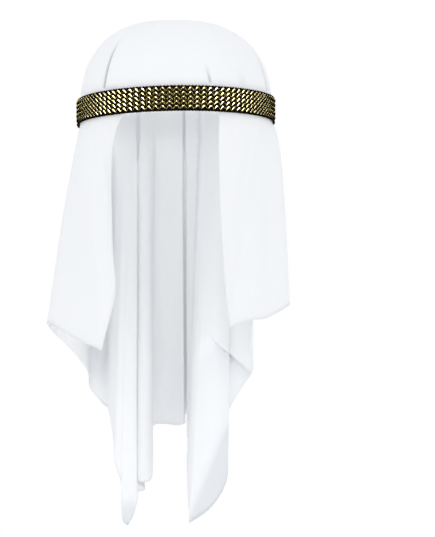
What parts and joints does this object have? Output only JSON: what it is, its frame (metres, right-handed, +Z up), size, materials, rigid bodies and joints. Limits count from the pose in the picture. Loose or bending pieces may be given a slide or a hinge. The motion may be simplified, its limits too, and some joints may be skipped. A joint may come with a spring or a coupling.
{
  "type": "costume head cloth with braided head band",
  "caption": "Square of thin white cloth draped over the head in hanging points and folds, held round the brow by a flat ring of black and gold braid.",
  "frame": {"origin": "the middle of the head band's ring, at half its height, where the headdress sits on the head", "axes": "+Z up, -Y the way the face looks, +X to the viewer's right when the face looks at the viewer"},
  "size_m": [0.2079, 0.2495, 0.4376],
  "materials": {
    "white_cloth": "matt thin plain-woven white polyester",
    "gold_braid": "flat black and metallic gold zig-zag braid"
  },
  "bodies": {
    "root": {"head_cloth": "white_cloth", "head_band": "gold_braid"}
  },
  "joints": []
}
